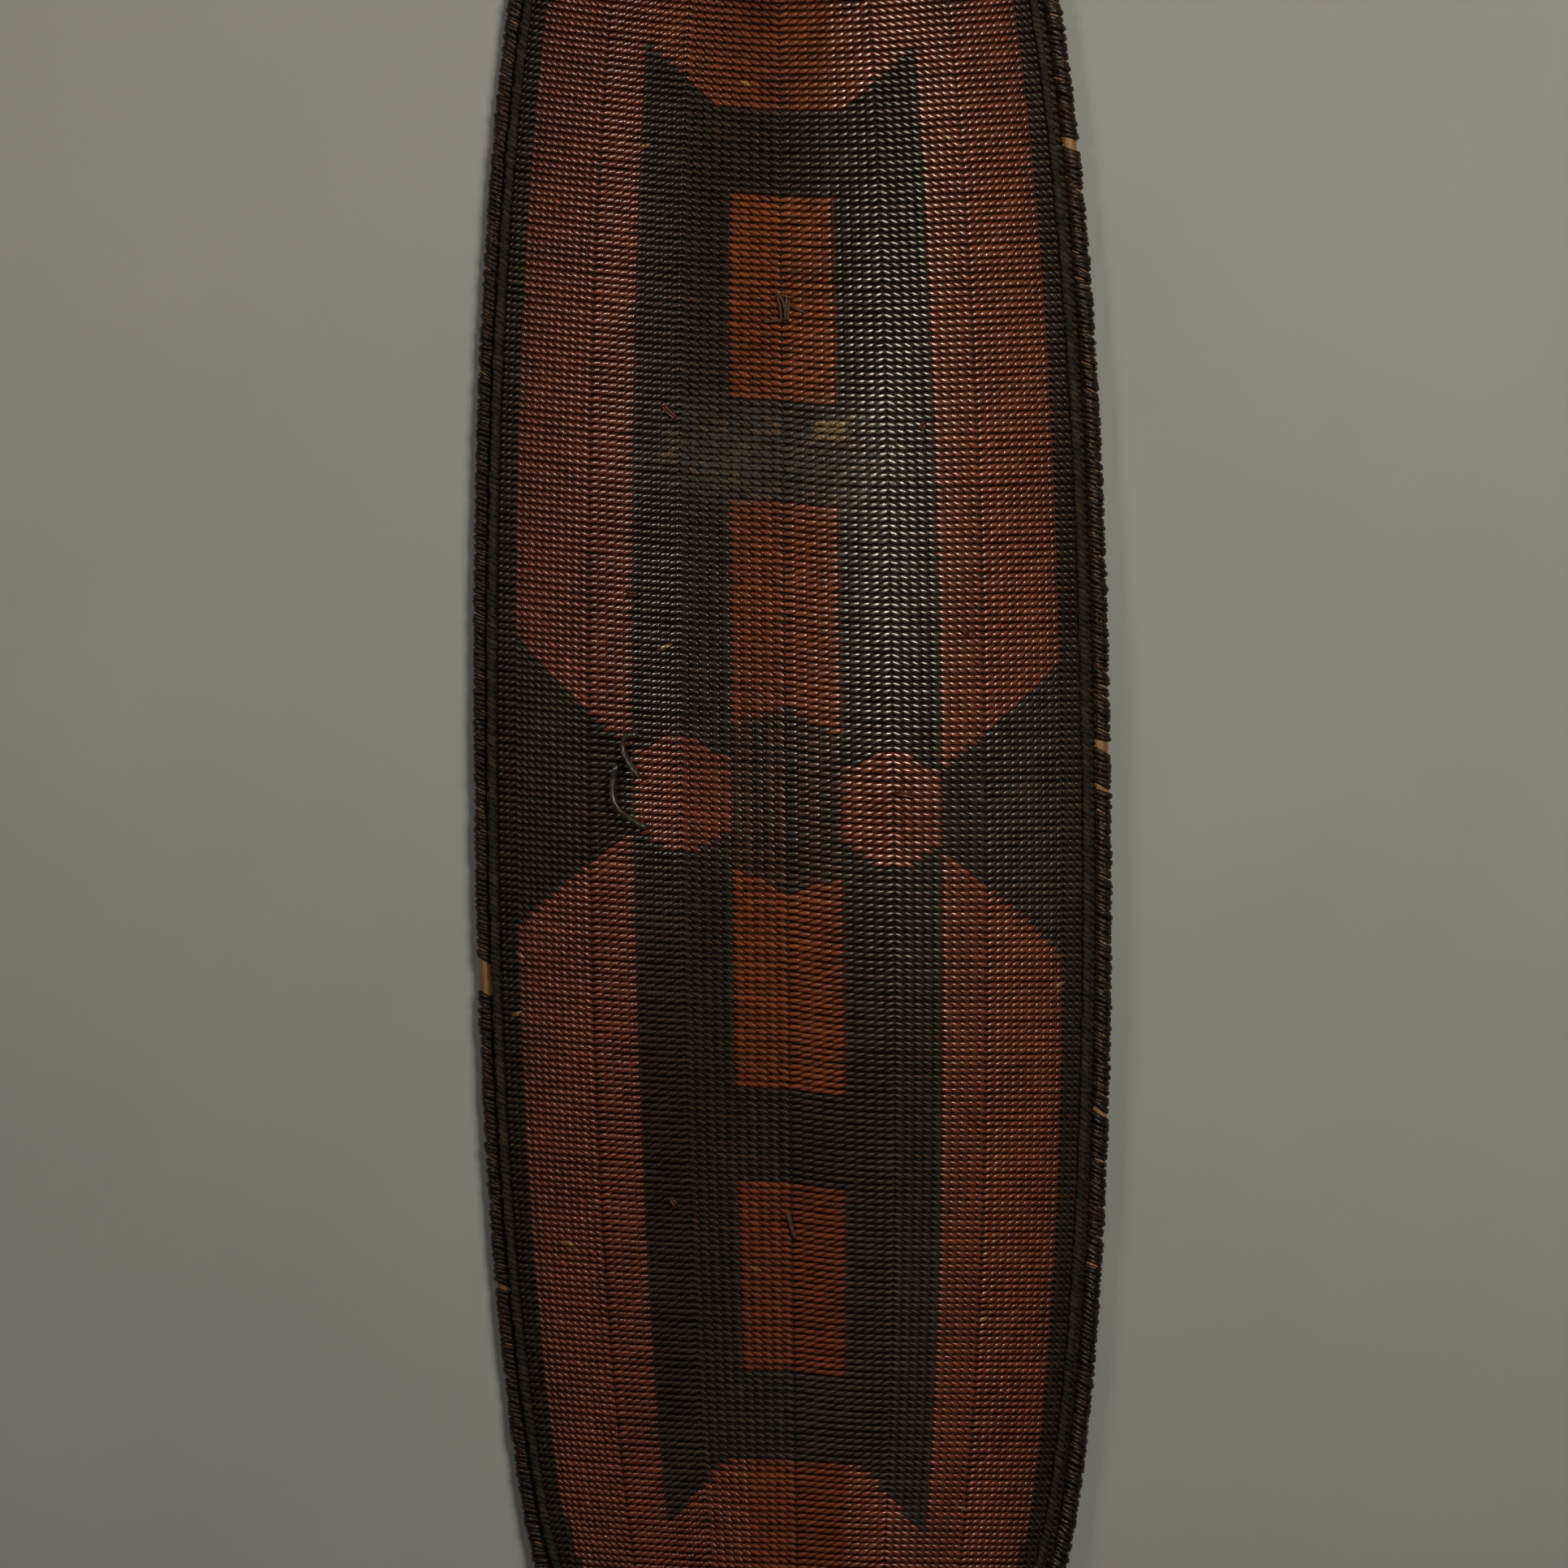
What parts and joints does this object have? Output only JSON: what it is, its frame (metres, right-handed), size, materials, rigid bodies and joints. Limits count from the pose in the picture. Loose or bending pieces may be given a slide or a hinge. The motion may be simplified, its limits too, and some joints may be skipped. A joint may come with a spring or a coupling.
{
  "type": "woven shield",
  "caption": "Long oval shield of twined fibre, bowed across, with a cane-wrapped rod rim, a dyed black and red-brown pattern and a carved wooden grip tied behind.",
  "frame": {"origin": "on the floor under the middle of the bounding box, with the shield lying face up on the long sides of its rim", "axes": "+X across the shield, +Y along it towards its longer half, +Z out of its face"},
  "size_m": [0.37, 1.237, 0.0734],
  "materials": {
    "weave": "dyed plant fibre, worn to a low shine, red-brown and greenish black",
    "rod_wood": "bare tan wood, dry",
    "wrapping": "dark split cane, glossy from handling",
    "cord": "fuzzy grey-brown fibre",
    "grip_wood": "carved dark wood, smooth from the hand",
    "tie": "brown split cane strands",
    "thong": "stiff, dark and glossy"
  },
  "bodies": {
    "root": {"woven_panel": "weave", "rim_rod": "rod_wood", "rim_binding_upper": "wrapping", "rim_binding_lower": "wrapping", "rim_binding_right": "wrapping", "edge_cord": "cord", "grip_board": "grip_wood", "lashing_upper": "tie", "lashing_lower": "tie", "thong_free": "thong", "thong_stitched": "thong"}
  },
  "joints": []
}
